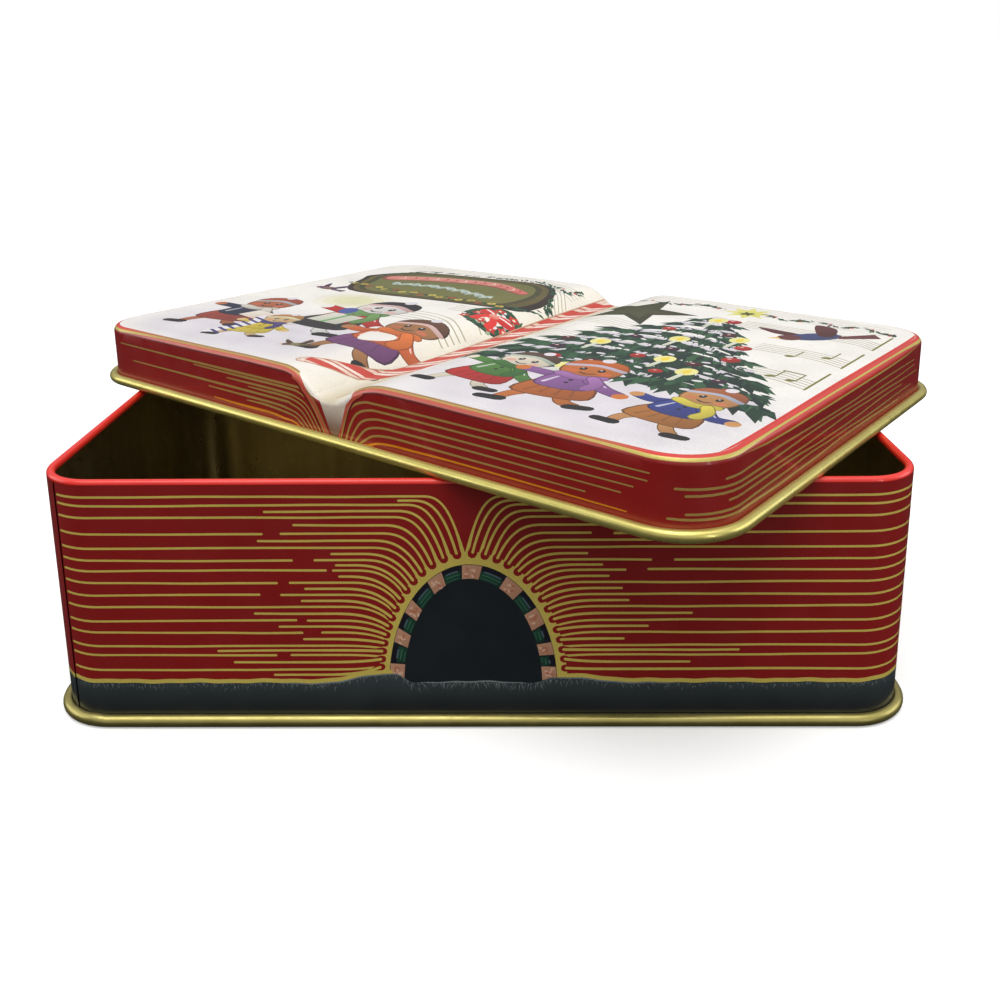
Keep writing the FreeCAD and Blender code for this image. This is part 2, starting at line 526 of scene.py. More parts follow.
# Painted reflection of the gold curl, used on the skirt's lowest page lines
CURL_REFLECTION_ORANGE = ink(236, 150, 34)
SHADOW_RED = ink(112, 24, 26)
PEACH = ink(214, 160, 130)
SAND = ink(232, 186, 156)
DAB = ink(196, 122, 94)
WHITE = ink(247, 243, 236)
SNOW = ink(229, 223, 228)
SNOW_SHADE = ink(202, 195, 204)
WARM_PAPER = ink(236, 226, 206)
FOLD_SHADE = ink(204, 190, 158)
DARK = ink(40, 36, 36)
INNER_GOLD = ink(150, 128, 66)
NOTE = ink(132, 128, 58)
STAVE = ink(172, 166, 138)
NEEDLES = [ink(30, 58, 44), ink(40, 76, 54), ink(54, 92, 62), ink(26, 46, 42)]
BAUBLES = [ink(196, 48, 44), ink(92, 44, 52), ink(208, 60, 50), ink(70, 44, 66)]
SPRIGS = [ink(150, 170, 140), SNOW, ink(96, 128, 92)]
FLOWERS = [ink(214, 194, 90), ink(196, 172, 78), ink(158, 70, 54)]
GOLD_METAL = 0.25

PRINT = print_material("printed_tinplate", 0.38, 0.35)
PAGE_PRINT = print_material("page_print", 0.45, 0.12)
GOLD_LACQUER = plain_material("gold_lacquer", ink(186, 174, 106), ink(170, 158, 90), 0.36, 0.85, 0.2)
INNER_LACQUER = plain_material(
    "inner_lacquer", ink(206, 192, 156), ink(176, 160, 122), 0.32, 1.0, 0.2, (1.0, 1.0, 0.1)
)
# Painted light: the lid's curl in a lighter copy of the gold lacquer, for the light it catches
LIT_CURL_LACQUER = plain_material("curl_lacquer_lit", ink(226, 214, 124), ink(212, 198, 108), 0.3, 0.7, 0.3)
# Painted light: the rim roll's material, the wall's red painted lighter as if lit from above
LIT_RIM_PAINT = plain_material("rim_paint_lit", LIT_RIM_RED, ink(236, 46, 38), 0.34, 0.0, 0.4)
GROOVE_SHADE = plain_material("groove_shade", ink(30, 12, 12), ink(20, 10, 10), 0.6, 0.0, 0.0)

# ---------------------------------------------------------------- the wall's print

PAGE_LINES = [12.7, 15.7, 19.8, 22.4, 26.1, 29.4, 33.2, 36.5]
PAGE_LINES += [39.8, 43.1, 45.9, 49.2, 53.0, 57.3, 60.5, 62.7]
SHORT_STARTS = [50, 60, 64, 42, 48, 54, 42, 41, 32, 33, 34, 52, 43, 50, 17]
LINE_WIDTH = 0.6
ARCH_X = -2.2
ARCH_FOOT = 11.0
ARCH_LEFT = 16.9
ARCH_RIGHT = 18.1
ARCH_RISE = 29.7
BLOCK_DEPTH = 3.8
BORDER_DEPTH = 1.6
CROWN_LIFT = 0.3
CROWN_ANGLE = 92.5
WEB_DEPTH = 1.1
FINGER_WIDTH = 2.0
BLOCK_EDGES = [3, 10.4, 16.5, 23, 31, 41.5, 53.5, 66, 82.6]
BLOCK_EDGES += [96.2, 110, 121, 134.5, 142.5, 151.5, 159, 168, 177]
BLOCK_STREAKS = [
    (0.56, 0.68, 1.5, 2.6, ink(82, 104, 112)),
    (0.34, 0.42, 1.0, 2.0, ink(64, 116, 90)),
    (0.1, 0.18, 2.2, 1.0, ink(54, 100, 78)),
]
GROUND_TOP = 11.9
GROUND_DARKEST = 4.0


def arch_point(angle, grow):
    """A point on the arch or round it. The angle is in degrees, from 0 at its right foot."""
    a = math.radians(angle)
    half = ARCH_RIGHT if angle < 90 else ARCH_LEFT
    lift = CROWN_LIFT * max(0.0, grow - BLOCK_DEPTH)
    return np.array([
        ARCH_X + (half + grow) * math.cos(a),
        ARCH_FOOT + (ARCH_RISE + grow + lift) * math.sin(a),
    ])


def arch_ring(grow):
    return [arch_point(a, grow) for a in np.linspace(-8, 188, 56)]


def level_line(art, z, start, end):
    """One page line along the wall, a little unsteady."""
    count = max(3, round(abs(end - start) / 9))
    s = np.linspace(start, end, count)
    wave = z + 0.12 * np.sin(s / 17 + z) + RANDOM.uniform(-0.06, 0.06, count)
    widths = (LINE_WIDTH, LINE_WIDTH * 0.9, LINE_WIDTH, LINE_WIDTH * 1.05)
    art.fill(stroke(np.column_stack([s, wave]), *widths), GOLD, GOLD_METAL)


def comb_line(art, side, z, angle, start, joined):
    """A page line that bends into the arch. It joins the border, or ends in the middle of a red finger."""
    seen = angle if side > 0 else 180 - angle
    foot = arch_point(seen, BLOCK_DEPTH + (0.6 if joined else BORDER_DEPTH + FINGER_WIDTH * 0.5))
    bend = 10.5 + 4.5 * math.cos(math.radians(angle))
    ahead = np.linspace(1, 0, 13) ** 1.6
    curve = np.column_stack([foot[0] + side * bend * ahead, z - (z - foot[1]) * (1 - ahead) ** 3])
    low = math.cos(math.radians(angle)) ** 2
    thin, thick = LINE_WIDTH, LINE_WIDTH * 1.05 + 0.1 * low
    if joined:
        widths = (thin, thin, thin, thin * 0.95, thin, 1.3 - 0.3 * low)
        gap = RANDOM.uniform(30, 48)
        if RANDOM.random() < 0.45:
            level_line(art, z, start, ARCH_X + side * (gap + RANDOM.uniform(1.5, 6)))
            start = ARCH_X + side * gap
    else:
        widths = (thin, thick, thick, thick * 1.05)
        finger = FINGER_WIDTH + 0.35 * (1 - low)
        inward = (foot - curve[-2]) / np.linalg.norm(foot - curve[-2])
        tip = [foot - inward * 1.6, foot, foot + inward * 0.45]
        art.fill(stroke(tip, finger * 0.7, finger, finger), RED)
    reach = max(abs(start - foot[0]), bend + 1)
    ahead = np.linspace(foot[0] + side * reach, curve[0, 0], max(2, int((reach - bend) / 9) + 1))[:-1]
    level = z + 0.1 * np.sin(ahead / 15 + z) + RANDOM.uniform(-0.05, 0.05, len(ahead))
    level[-1] = z
    line = np.vstack([np.column_stack([ahead, level]), curve])
    art.fill(stroke(line, *widths, steps=3), GOLD, GOLD_METAL)


def comb_angle(k, side):
    """Where the short line number k meets the arch. They stand closer together near its foot."""
    return 7.7 + 3.9 * k + 0.13 * k**2 if side > 0 else 8.2 + 3.6 * k + 0.0087 * k**3


def draw_comb(art, left_end, right_end):
    """The page lines on both sides of the arch: long ones that join it, short ones between them.

    On the right the lowest finger stands for the second long line.
    """
    art.fill(arch_ring(BLOCK_DEPTH + BORDER_DEPTH + WEB_DEPTH), GOLD, GOLD_METAL)
    for side, far_end in ((-1, left_end), (1, right_end)):
        crown = CROWN_ANGLE if side > 0 else 180 - CROWN_ANGLE
        first = 2 if side > 0 else 1
        for k, z in enumerate(PAGE_LINES[first:], first):
            angle = comb_angle(k - 0.5, side) if k < len(SHORT_STARTS) else crown
            comb_line(art, side, z, angle, far_end, True)
        for k, away in enumerate(SHORT_STARTS):
            z = (PAGE_LINES[k] + PAGE_LINES[k + 1]) / 2
            start = ARCH_X + side * (away + (side > 0) * RANDOM.uniform(-6, 4))
            if side > 0 and k == 0:
                z, start = PAGE_LINES[1], far_end
            comb_line(art, side, z, comb_angle(k, side), start, False)


def draw_arch(art):
    art.fill(arch_ring(BLOCK_DEPTH + BORDER_DEPTH - 0.3), GOLD, GOLD_METAL)
    art.fill(arch_ring(BLOCK_DEPTH + 0.12), NIGHT)
    for i, (a, b) in enumerate(zip(BLOCK_EDGES, BLOCK_EDGES[1:])):
        draw_block(art, a + 0.1, b - 0.1, RANDOM.uniform(-1.5, 1.5), i % 2 == 0)
    art.fill(arch_ring(0.0), NIGHT)


def draw_block(art, start, end, skew, pale):
    """One block of the arch: mottled peach, or near-black with a green inner half."""

    def band(low, high, lead=0.0, trail=0.0):
        turns = np.linspace(start + lead, end - trail, 4)
        outer = [arch_point(a + skew * high / BLOCK_DEPTH, high) for a in turns]
        return np.array(outer + [arch_point(a + skew * low / BLOCK_DEPTH, low) for a in turns[::-1]])

    if pale:
        art.fill(band(0.1, BLOCK_DEPTH), PEACH, dark=ink(190, 138, 108))
        middle = arch_point((start + end) / 2, BLOCK_DEPTH * 0.45)
        for _ in range(8):
            dab = middle + RANDOM.uniform(-1.1, 1.1, 2)
            spot = oval(*dab, 0.6, 0.32, RANDOM.uniform(0, 180), 7)
            art.fill(spot, DAB if RANDOM.random() < 0.4 else SAND)
        return
    art.fill(band(0.1, BLOCK_DEPTH), ink(28, 28, 38))
    art.fill(band(0.1, BLOCK_DEPTH * 0.62, 0.0, 0.6), LEAF, dark=ink(26, 56, 44))
    for low, high, lead, trail, colour in BLOCK_STREAKS:
        art.fill(band(BLOCK_DEPTH * low, BLOCK_DEPTH * high, lead, trail), colour)


def ground_colour(s, z):
    """Slate that darkens towards the base."""
    return mixed(DEEP_SLATE, SLATE, np.clip((z - GROUND_DARKEST) / (GROUND_TOP - GROUND_DARKEST), 0, 1))


def draw_ground(art, start, end, humps=()):
    """The dark band along the foot of the wall, with a fringe of grass."""
    s = np.arange(start - 1, end + 2, 1.0)
    top = GROUND_TOP + 0.1 * np.sin(s / 3.1) + 0.08 * np.sin(s / 1.3)
    for at, left, right, rise in humps:
        width = np.where(s < at, left, right)
        top = top + rise * np.exp(-(np.abs((s - at) / width) ** 3))
    low = WALL_PRINT_LOW - 1
    trim = top + (1.15 if not humps else 1.15 - 0.6 * np.exp(-(((s - ARCH_X) / 20) ** 6)))
    outer = (s < ARCH_X - ARCH_LEFT - 3) | (s > ARCH_X + ARCH_RIGHT + 3) if humps else s > start - 5
    places = np.flatnonzero(outer)
    for part in np.split(places, np.flatnonzero(np.diff(places) > 1) + 1):
        above = np.column_stack([s[part], trim[part]])
        art.fill(np.vstack([np.column_stack([s[part], top[part] - 0.3]), above[::-1]]), GOLD, GOLD_METAL)
    ring = np.vstack([np.column_stack([s, top]), [[s[-1], low], [s[0], low]]])
    art.fill(ring[::-1], ground_colour)
    for blade in np.arange(start + 1, end - 1, 0.35):
        at = blade + RANDOM.uniform(-0.3, 0.3)
        close = math.exp(-(((at - ARCH_X) / 40) ** 2)) if humps else 0.0
        root = float(np.interp(at, s, top)) - abs(RANDOM.normal(0.4, 0.6)) + 0.1
        tip = (at + RANDOM.uniform(-0.7, 0.7), root - RANDOM.uniform(0.6, 1.2 + close))
        colour = GRASS if RANDOM.random() < 0.35 + 0.4 * close else MOSS
        art.fill([(at - 0.1, root), tip, (at + 0.1, root)], colour)
    if humps:
        for low_s, high_s in ((-52, -17.5), (-16, 12.5), (14.5, 50)):
            edge = s[(s > low_s) & (s < high_s)]
            crest = np.column_stack([edge, np.interp(edge, s, top) - 0.2])
            art.fill(stroke(crest, 0.1, 0.4, 0.4, 0.15), GRASS)


def wall_stops(start, end):
    """Places round the outline for the wall's mesh, with both ends."""
    stops = ring_stops(16.0, 16)
    both = np.concatenate([stops - PERIMETER, stops])
    return np.array([start, *both[(both > start + 0.2) & (both < end - 0.2)], end])


def make_wall_panel(name, start, end, front=False, margin=0.0):
    """One side of the wall's outside, between two places round the outline."""
    low, high = WALL_PRINT_LOW, RIM - ROLL_RADIUS
    s = wall_stops(start, end)
    outline = np.vstack([np.column_stack([s, 0 * s + low]), np.column_stack([s, 0 * s + high])[::-1]])
    grid = [(v, h) for v in s[1:-1] for h in np.linspace(low, high, 6)[1:-1]]
    art = Artwork(outline, RED, grid)
    if front:
        draw_comb(art, start + 0.7, end + 1)
        draw_arch(art)
        humps = [(ARCH_X - 20, 11, 3.5, 2.6), (ARCH_X + 21.5, 3.5, 14, 1.4), (ARCH_X, 9, 9, 0.5)]
        draw_ground(art, start, end, humps)
    else:
        for z in PAGE_LINES[1:]:
            level_line(art, z, start - 1, end + 1 - margin)
        draw_ground(art, start, end)
    printed(name, "tin", art, on_wall, PRINT)


def make_wall():
    seam = SEAM_S - PERIMETER
    make_wall_panel("wall_front", seam + 0.15, CORNER_MIDDLES[0], front=True)
    make_wall_panel("wall_right", CORNER_MIDDLES[0], CORNER_MIDDLES[1])
    make_wall_panel("wall_back", CORNER_MIDDLES[1], CORNER_MIDDLES[2])
    make_wall_panel("wall_left", CORNER_MIDDLES[2], SEAM_S - 0.15, margin=6.0)
    # The rim roll is in the lighter red, painted light
    roll = circle(-ROLL_RADIUS, RIM - ROLL_RADIUS, ROLL_RADIUS, 0, 337.5, 16)
    sweep("rim_roll", "tin", roll, LIT_RIM_PAINT, closed=True)
    inside = [(-SHEET, z) for z in (RIM - 2 * ROLL_RADIUS + 0.1, RIM * 0.6, RIM * 0.3, PANEL_HEIGHT)]
    piece = sweep("wall_inside", "tin", inside, INNER_LACQUER)
    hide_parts("body_wall")


def upright_strip(name, at, out, low, high, material):
    """A narrow strip of metal that stands along the wall."""
    x, y = around(at, out)
    count = len(at)
    points = np.vstack([np.column_stack([x, y, 0 * x + z]) for z in (low, high)])
    faces = [(i, i + 1, count + i + 1, count + i) for i in range(count - 1)]
    make_mesh(name, "tin", points, faces, material)


def make_lock_seam():
    """The folded strip inside the corner, and the dark groove where the sheet's ends meet outside."""
    fold = SEAM_S + np.linspace(-2.0, 2.0, 5)
    upright_strip("lock_seam_inside", fold, -SHEET - 0.6, 4.0, 64.0, INNER_LACQUER)
    groove = SEAM_S + np.array([-0.4, 0.5])
    upright_strip("lock_seam_groove", groove, -0.28, WALL_PRINT_LOW, RIM - ROLL_RADIUS, GROOVE_SHADE)


# The step inside the base panel: reach from the wall, and height above the panel's low ring
PANEL_STEP = [(-13.0, 0.7), (-10.5, 0.65), (-9.4, 0.2), (-8.0, 0.0)]
SEAM_BEND = 0.6


def make_base():
    """One sheet: a sunken panel, a wall up to it, and an edge folded round the wall's flange."""
    step = -2 * SHEET - 0.1
    bend = SEAM_BEND
    outside = [(reach, PANEL_HEIGHT + lift) for reach, lift in PANEL_STEP]
    outside += circle(step - bend, PANEL_HEIGHT - bend, bend, 90, 0, 5)
    outside += circle(step + bend, bend, bend, 180, 270, 5)
    outside += circle(SEAM_REACH, SEAM_RADIUS, SEAM_RADIUS, -90, 118, 18)
    inner = circle(SEAM_REACH, SEAM_RADIUS, SEAM_RADIUS - SHEET, 118, -90, 12)
    inner += circle(step + bend, bend, bend - SHEET, 270, 180, 4)
    inner += circle(step - bend, PANEL_HEIGHT - bend, bend + SHEET, 0, 90, 5)
    inner += [(reach, PANEL_HEIGHT + SHEET + lift) for reach, lift in reversed(PANEL_STEP)]

    def wobble(s, reach, height):
        """The bead is a little crushed beside the lock seam."""
        near = math.exp(-((((s - SEAM_S - 6) % PERIMETER + 20) % PERIMETER - 20) / 5) ** 2)
        bead = np.clip(reach, 0, None) > 0
        lift = 0.15 * near * math.sin(s * 0.9)
        return reach - 0.1 * near * bead, np.where(bead & (height > SEAM_RADIUS), height + lift, height)

    section = outside + inner
    piece = sweep(
        "base_seam_and_panel", "tin", section, GOLD_LACQUER, caps=True, wobble=wobble
    )
    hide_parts("base_plate")


# ---------------------------------------------------------------- the lid

SHOULDER_ARC = SHOULDER * math.pi / 2
GUTTER_STEPS = np.arange(-22, 22.1, 0.9)

# Page lines on a long side's left and right page: height, and how far out they reach from the gutter
LEFT_LINES = [(12.2, 102), (11.2, 60), (9.7, 44), (8.7, 36), (7.3, 92), (5.7, 52), (4.5, 38), (2.7, 48)]
RIGHT_LINES = [(12.8, 98), (11.0, 96), (8.9, 92), (6.9, 89), (4.9, 78), (2.9, 91)]
# Long-side page lines lower than this, just above the curl, are painted orange: a painted reflection of the
# curl in the glossy skirt, over the printed gold line
CURL_REFLECTION_BELOW = 3.0
# Page lines on a short side: height, and how far they reach round the corner
SHORT_LINES = [(2.9, 16), (4.6, 13), (6.4, 3), (8.2, 12), (10.0, 14), (11.6, 5)]
# The paper's lower edge where the gutter comes out, and the folds of the cover beside it
LIP = [(-12.8, 16.6), (-10.8, 14.4), (-8.6, 12.0), (-6.2, 10.4)]
LIP += [(-1.5, 9.5), (3.4, 9.7), (6.4, 10.9), (8.4, 12.8)]
LEFT_FOLD = [(-13.5, 15.0), (-11.4, 14.0), (-9.2, 11.4), (-6.8, 9.2), (-4.9, 6.4), (-3.0, 3.4), (-1.6, 1.0)]
RIGHT_FOLD = [(12.0, 14.6), (9.0, 12.9), (7.0, 10.6), (5.6, 7.6), (4.4, 4.2), (3.2, 1.0)]
# The wedge beside them that shows the spine
SPINE_WEDGE = [(-8.5, 14), (-5.0, 9), (-1.2, SKIRT_LOW), (1.0, SKIRT_LOW), (3.2, 6), (6.5, 11), (9, 14)]


def skirt_top(s):
    """How far along the metal the skirt reaches. It overlaps the page's edge a little."""
    x, _ = around(s, LID_OUTER)
    return page_height(x) - SHOULDER + SHOULDER_ARC + SKIRT_OVERLAP


def near_gutter_stops(start, end):
    """Places round the outline for the skirt's mesh, close together where the gutter crosses it."""
    stops = [*ring_stops(12.0, 14), *(ring_stops(12.0, 14) - PERIMETER)]
    front = GUTTER_X + GUTTER_STEPS
    back = STOPS[4] + STRAIGHT_X - GUTTER_X + GUTTER_STEPS
    both = np.unique(np.round([*stops, *front, *back], 3))
    return np.array([start, *[v for v in both if start + 0.2 < v < end - 0.2], end])


def draw_long_skirt(art, middle, flip):
    """Page lines on a long side. They bend down beside the gutter, where a wedge shows the book's spine."""
    g = middle + (GUTTER_X + 3) * flip
    art.fill([(g + at * flip, h) for at, h in SPINE_WEDGE], spine_colour)
    for k, (z, away) in enumerate(LEFT_LINES):
        start = g - flip * (away + RANDOM.uniform(-4, 4))
        foot = g - flip * (2.2 + 1.5 * k)
        turn = g - flip * (12.5 + 1.1 * k)
        bend = [(turn - flip * 6, z), (turn, z - 0.5)]
        bend += [(turn + (foot - turn) * 0.5, z * 0.72), (foot, SKIRT_LOW - 0.3)]
        level = [(start, z), (start * 0.6 + turn * 0.4, z + RANDOM.uniform(-0.2, 0.2))]
        # The lowest lines are orange, a painted reflection of the curl below them
        colour = CURL_REFLECTION_ORANGE if z < CURL_REFLECTION_BELOW else DIM_GOLD
        art.fill(stroke(level + bend, 0.35, 0.7, 0.65, 0.45, 0.4, steps=6), colour, GOLD_METAL)
    for k, (z, away) in enumerate(RIGHT_LINES):
        end = g + flip * (away + RANDOM.uniform(-2, 2))
        rise = [(2.4 + 1.7 * k, SKIRT_LOW), (4.0 + 1.8 * k, z * 0.45)]
        rise += [(6.6 + 1.9 * k, z * 0.8), (11.0 + 2.0 * k, z * 0.97)]
        level = [(17 + 2.2 * k, z), (45, z + RANDOM.uniform(-0.2, 0.2))]
        line = [(g + flip * s, h) for s, h in rise + level] + [(end, z - 0.2)]
        # The lowest lines are orange, a painted reflection of the curl below them
        colour = CURL_REFLECTION_ORANGE if z < CURL_REFLECTION_BELOW else DIM_GOLD
        art.fill(stroke(line, 0.6, 0.6, 0.6, 0.6, 0.35, steps=6), colour, GOLD_METAL)


def spine_colour(_, h):
    """Pale under the page's edge, browner towards the curl."""
    return mixed(ink(124, 84, 60), ink(224, 210, 194), np.clip((h - 1.0) / 7.5, 0, 1) ** 1.5)


def edge_paper(s, _):
    """The page's colour, carried on over its edge."""
    return paper_colour(*around(s, LID_OUTER - SHOULDER))


def draw_lip(art, middle, flip):
    """The page's paper, which folds over the edge where the gutter comes out."""

    def line(points, colour, *widths):
        art.fill(stroke(points * [flip, 1] + [middle, 0], *widths), colour)

    left, right = np.array(LEFT_FOLD), np.array(RIGHT_FOLD)
    # Painted highlights: the salmon strokes along both folded edges. Painted shade: the shadow red strokes
    # beside them. The brown gold stroke carries on the printed band.
    line(left, SALMON, 2.2, 2.2, 1.8, 1.3, 1.0, 0.8, 0.6)
    line(left - [1.0, 0.9], SHADOW_RED, 0.5, 0.6, 0.5, 0.4)
    line(right, SALMON, 1.2, 1.4, 1.2, 0.8, 0.6, 0.4)
    line(right + [0.9, -0.6], SHADOW_RED, 0.5, 0.6, 0.5, 0.4)
    line(left[2:] + [0.5, 0.4], BROWN_GOLD, 0.6, 0.7, 0.6, 0.4)
    edge = place(smooth(np.array(LIP) * [flip, 1]), middle, 0)
    above = [(edge[-1, 0], 30.0), (edge[0, 0], 30.0)]
    art.fill(np.vstack([edge, above]), edge_paper)


def draw_short_skirt(art, middle):
    """Page lines along a short side, which start and stop round the corners."""
    for k, (z, early) in enumerate(SHORT_LINES):
        start = middle - STRAIGHT_Y - early - RANDOM.uniform(0, 2)
        end = middle + STRAIGHT_Y + RANDOM.uniform(-20, 12)
        s = np.linspace(start, end, 11)
        wave = z + 0.3 * np.sin(s / 13 + 2 * k) + RANDOM.uniform(-0.12, 0.12, 11)
        art.fill(stroke(np.column_stack([s, wave]), 0.55, 0.65, 0.5, 0.45, 0.5, 0.3), DIM_GOLD, GOLD_METAL)


def shoulder_line(stops, below):
    """A line that follows the shoulder, a distance down from the page's edge."""
    return np.column_stack([stops, skirt_top(stops) - SKIRT_OVERLAP - below])


# Stripes along the shoulder: depths and colour at the side's middle, and what they become at the corners
# Brown gold and dim gold are print. Salmon, bright red and yellow gold are lighter copies of the red and gold
# print, painted light on the up-facing shoulder, and shadow red is painted shade at the shoulder's foot.
LONG_BANDS = [
    ((0.3, 0.9), BROWN_GOLD, (0.1, 1.3), BRIGHT_RED, 0.0),
    ((0.9, 1.4), DIM_GOLD, (1.3, 2.2), YELLOW_GOLD, GOLD_METAL),
    ((1.4, 2.5), SALMON, (2.2, 2.4), RED, 0.0),
    ((2.5, 3.1), SHADOW_RED, (2.4, 2.7), RED, 0.0),
]
# Painted light here too: the bright red and yellow gold bands stand for light on the shoulder.
SHORT_BANDS = [
    ((-0.3, 1.2), BRIGHT_RED, (0.1, 1.3), BRIGHT_RED, 0.0),
    ((1.2, 1.7), YELLOW_GOLD, (1.3, 2.2), YELLOW_GOLD, GOLD_METAL),
    ((1.7, 3.5), BRIGHT_RED, (2.2, 2.4), RED, 0.0),
    ((3.5, 4.0), YELLOW_GOLD, (2.4, 2.7), RED, 0.0),
]


def draw_band(art, stops, middle, reach, depths, colour, end_depths, end_colour, metal):
    """A stripe along the shoulder, whose depths and colour change towards the corners."""

    def along(s):
        return np.clip(np.abs(s - middle) / reach, 0, 1) ** 6

    def shade(s, _):
        return mixed(colour, end_colour, along(s))

    top, low = (shoulder_line(stops, a + (b - a) * along(stops)) for a, b in zip(depths, end_depths))
    art.fill(np.vstack([low, top[::-1]]), shade, metal)


def make_skirt_panel(name, start, end, middle, flip=0):
    """One side of the skirt. On a long side flip is 1, or -1 where the pages run the other way."""
    stops = near_gutter_stops(start, end)
    top = np.column_stack([stops, skirt_top(stops)])
    low = np.column_stack([stops, 0 * stops + SKIRT_LOW])
    grid = []
    for row in [*np.linspace(0, SHOULDER_ARC, 7), SHOULDER_ARC + 2.4, SHOULDER_ARC + 4.8]:
        grid.extend(map(tuple, (top - [0, SKIRT_OVERLAP + row])[1:-1]))
    left, right = (np.linspace(low[i], top[i], 24)[1:-1] for i in (0, -1))
    art = Artwork(np.vstack([low, right, top[::-1], left[::-1]]), RED, grid)
    if flip:
        draw_long_skirt(art, middle, flip)
    else:
        draw_short_skirt(art, middle)
    art.fill(np.vstack([shoulder_line(stops, 0.5), shoulder_line(stops, -1.0)[::-1]]), edge_paper)
    if flip:
        beside = (stops - middle) * flip
        for part in (stops[beside < -9.0], stops[beside > 6.2]):
            for band in LONG_BANDS:
                draw_band(art, part, middle, STRAIGHT_X, *band)
        draw_lip(art, middle, flip)
    else:
        for band in SHORT_BANDS:
            draw_band(art, stops, middle, STRAIGHT_Y, *band)
    printed(name, "lid", art, on_skirt, PRINT)


def make_skirt():
    mid = [0.0, STOPS[2] + STRAIGHT_Y, STOPS[4] + STRAIGHT_X, STOPS[6] + STRAIGHT_Y]
    cuts = [STOPS[1] + 1, STOPS[4] - 1, STOPS[5] + 1, STOPS[8] - 1]
    make_skirt_panel("lid_skirt_front", cuts[3] - PERIMETER, cuts[0], mid[0], flip=1)
    make_skirt_panel("lid_skirt_right", cuts[0], cuts[1], mid[1])
    make_skirt_panel("lid_skirt_back", cuts[1], cuts[2], mid[2], flip=-1)
    make_skirt_panel("lid_skirt_left", cuts[2], cuts[3], mid[3])
    curl = circle(LID_CLEARANCE + CURL_RADIUS, 0, CURL_RADIUS, 0, 337.5, 16)
    piece = sweep("lid_curl", "lid", curl, LIT_CURL_LACQUER, closed=True)
    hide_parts("lid")


def page_outline():
    """The flat part of the lid, inside the rounded shoulder."""
    stops = near_gutter_stops(-STRAIGHT_X, PERIMETER - STRAIGHT_X)[:-1]
    x, y = around(stops, LID_OUTER - SHOULDER)
    return np.column_stack([x, y])


GRID_MARGIN = 1.6


def page_grid():
    """Points inside the pages' mesh, close together across the gutter."""
    near = GUTTER_X + GUTTER_STEPS
    half_x, half_y = HALF_X - GRID_MARGIN, HALF_Y - GRID_MARGIN
    xs = np.concatenate([np.arange(-half_x, near[0] - 1, 4.0), near, np.arange(near[-1] + 3, half_x, 4.0)])
    return [(x, y) for x in xs for y in np.arange(-half_y, half_y, 4.5)]


def paper_colour(x, y):
    """Cream paper with snow painted over its lower part, warm and shaded towards the gutter."""
    right = x > FOLD_X
    centre = np.where(right, 62.0, -60.0)
    edge = ((x - centre) / np.where(right, 46, 44)) ** 4 + ((y + 50) / np.where(right, 25, 23)) ** 4
    drift = 0.5 + 0.5 * np.sin(0.21 * x + 0.6 * y) * np.sin(0.35 * y - 0.1 * x)
    base = mixed(WHITE, mixed(SNOW, SNOW_SHADE, 0.4 * drift), 1 / (1 + edge**2))
    away = np.abs(x - FOLD_X)
    base = mixed(base, WARM_PAPER, 0.8 * np.exp(-((away / np.where(right, 10, 16)) ** 2)))
    return mixed(base, FOLD_SHADE, 0.8 * np.exp(-((away / np.where(right, 3.0, 5.0)) ** 2)))


def make_pages():
    art = Artwork(page_outline(), paper_colour, page_grid())
    draw_pages(art)
    printed("lid_pages", "lid", art, on_page, PAGE_PRINT)


def stave(art, path, width, count=5, gap=1.9):
    """A few thin lines side by side along a path."""
    for k in range(count):
        art.fill(stroke(np.array(path) - [0, gap * k], width, steps=8), STAVE)


def note(art, x, y):
    art.fill(oval(x, y, 1.5, 1.1, 20, 10), NOTE, GOLD_METAL)
    art.fill(stroke([(x + 1.3, y), (x + 1.4, y + 7.0)], 0.5, steps=1), NOTE, GOLD_METAL)


def marker(art, *where):
    """A function that paints shapes drawn round zero, all at one place with one turn and size."""

    def mark(ring, colour, share=None):
        """With a share, the shape is shaded to that share of its colour."""
        art.fill(place(ring, *where), colour, dark=share and darker(colour, share))

    return mark


TREE_ROWS = 9
BAUBLE_PLACES = [(57, 47), (64, 30), (74, 18), (58, 5), (54, -7), (71, -6), (66, -18), (84, -17)]
BAUBLE_PLACES += [(35, -22), (27, -2), (45, 27), (42, 12), (77, 4), (47, -20), (90, -24), (30, -12)]
CANDLE_PLACES = [(52, 43), (69, 23), (54, 14), (37, -3), (73, -17), (44, -31), (62, -9)]


def leaves(art, path, length, count, droop=-90.0, spread=55.0):
    """Pointed needles that hang from a path."""
    line = smooth(path, steps=12)
    for at in np.sort(RANDOM.uniform(0, 1, count)):
        root = line[int(at * (len(line) - 1))] + RANDOM.uniform(-0.8, 0.8, 2)
        angle = math.radians(droop + spread * (2 * at - 1) + RANDOM.uniform(-28, 28))
        reach = length * RANDOM.uniform(0.6, 1.15)
        tip = root + reach * np.array([math.cos(angle), math.sin(angle)])
        side = np.array([-math.sin(angle), math.cos(angle)]) * reach * 0.17
        middle = root * 0.6 + tip * 0.4
        art.fill([root, middle - side, tip, middle + side], NEEDLES[RANDOM.integers(4)])


def bauble(art, x, y, radius, colour):
    art.fill(oval(x, y, radius), colour, dark=darker(colour, 0.35))
    shine = oval(x - radius * 0.3, y + radius * 0.35, radius * 0.25, radius * 0.18, 30, 8)
    art.fill(shine, ink(236, 190, 180))


def candle(art, x, y):
    art.fill(oval(x, y + 3.2, 3.0, 3.6, 0, 18), ink(240, 232, 150))
    wax = stroke([(x + 0.2, y), (x, y - 6)], 1.5, 1.6, steps=2)
    art.fill(wax, ink(238, 238, 220), dark=ink(190, 196, 170))
    art.fill(place([(0, -1.6), (1.2, 0), (0.2, 3.4), (-1.1, 0.4)], x, y + 2.6), ink(246, 214, 64))


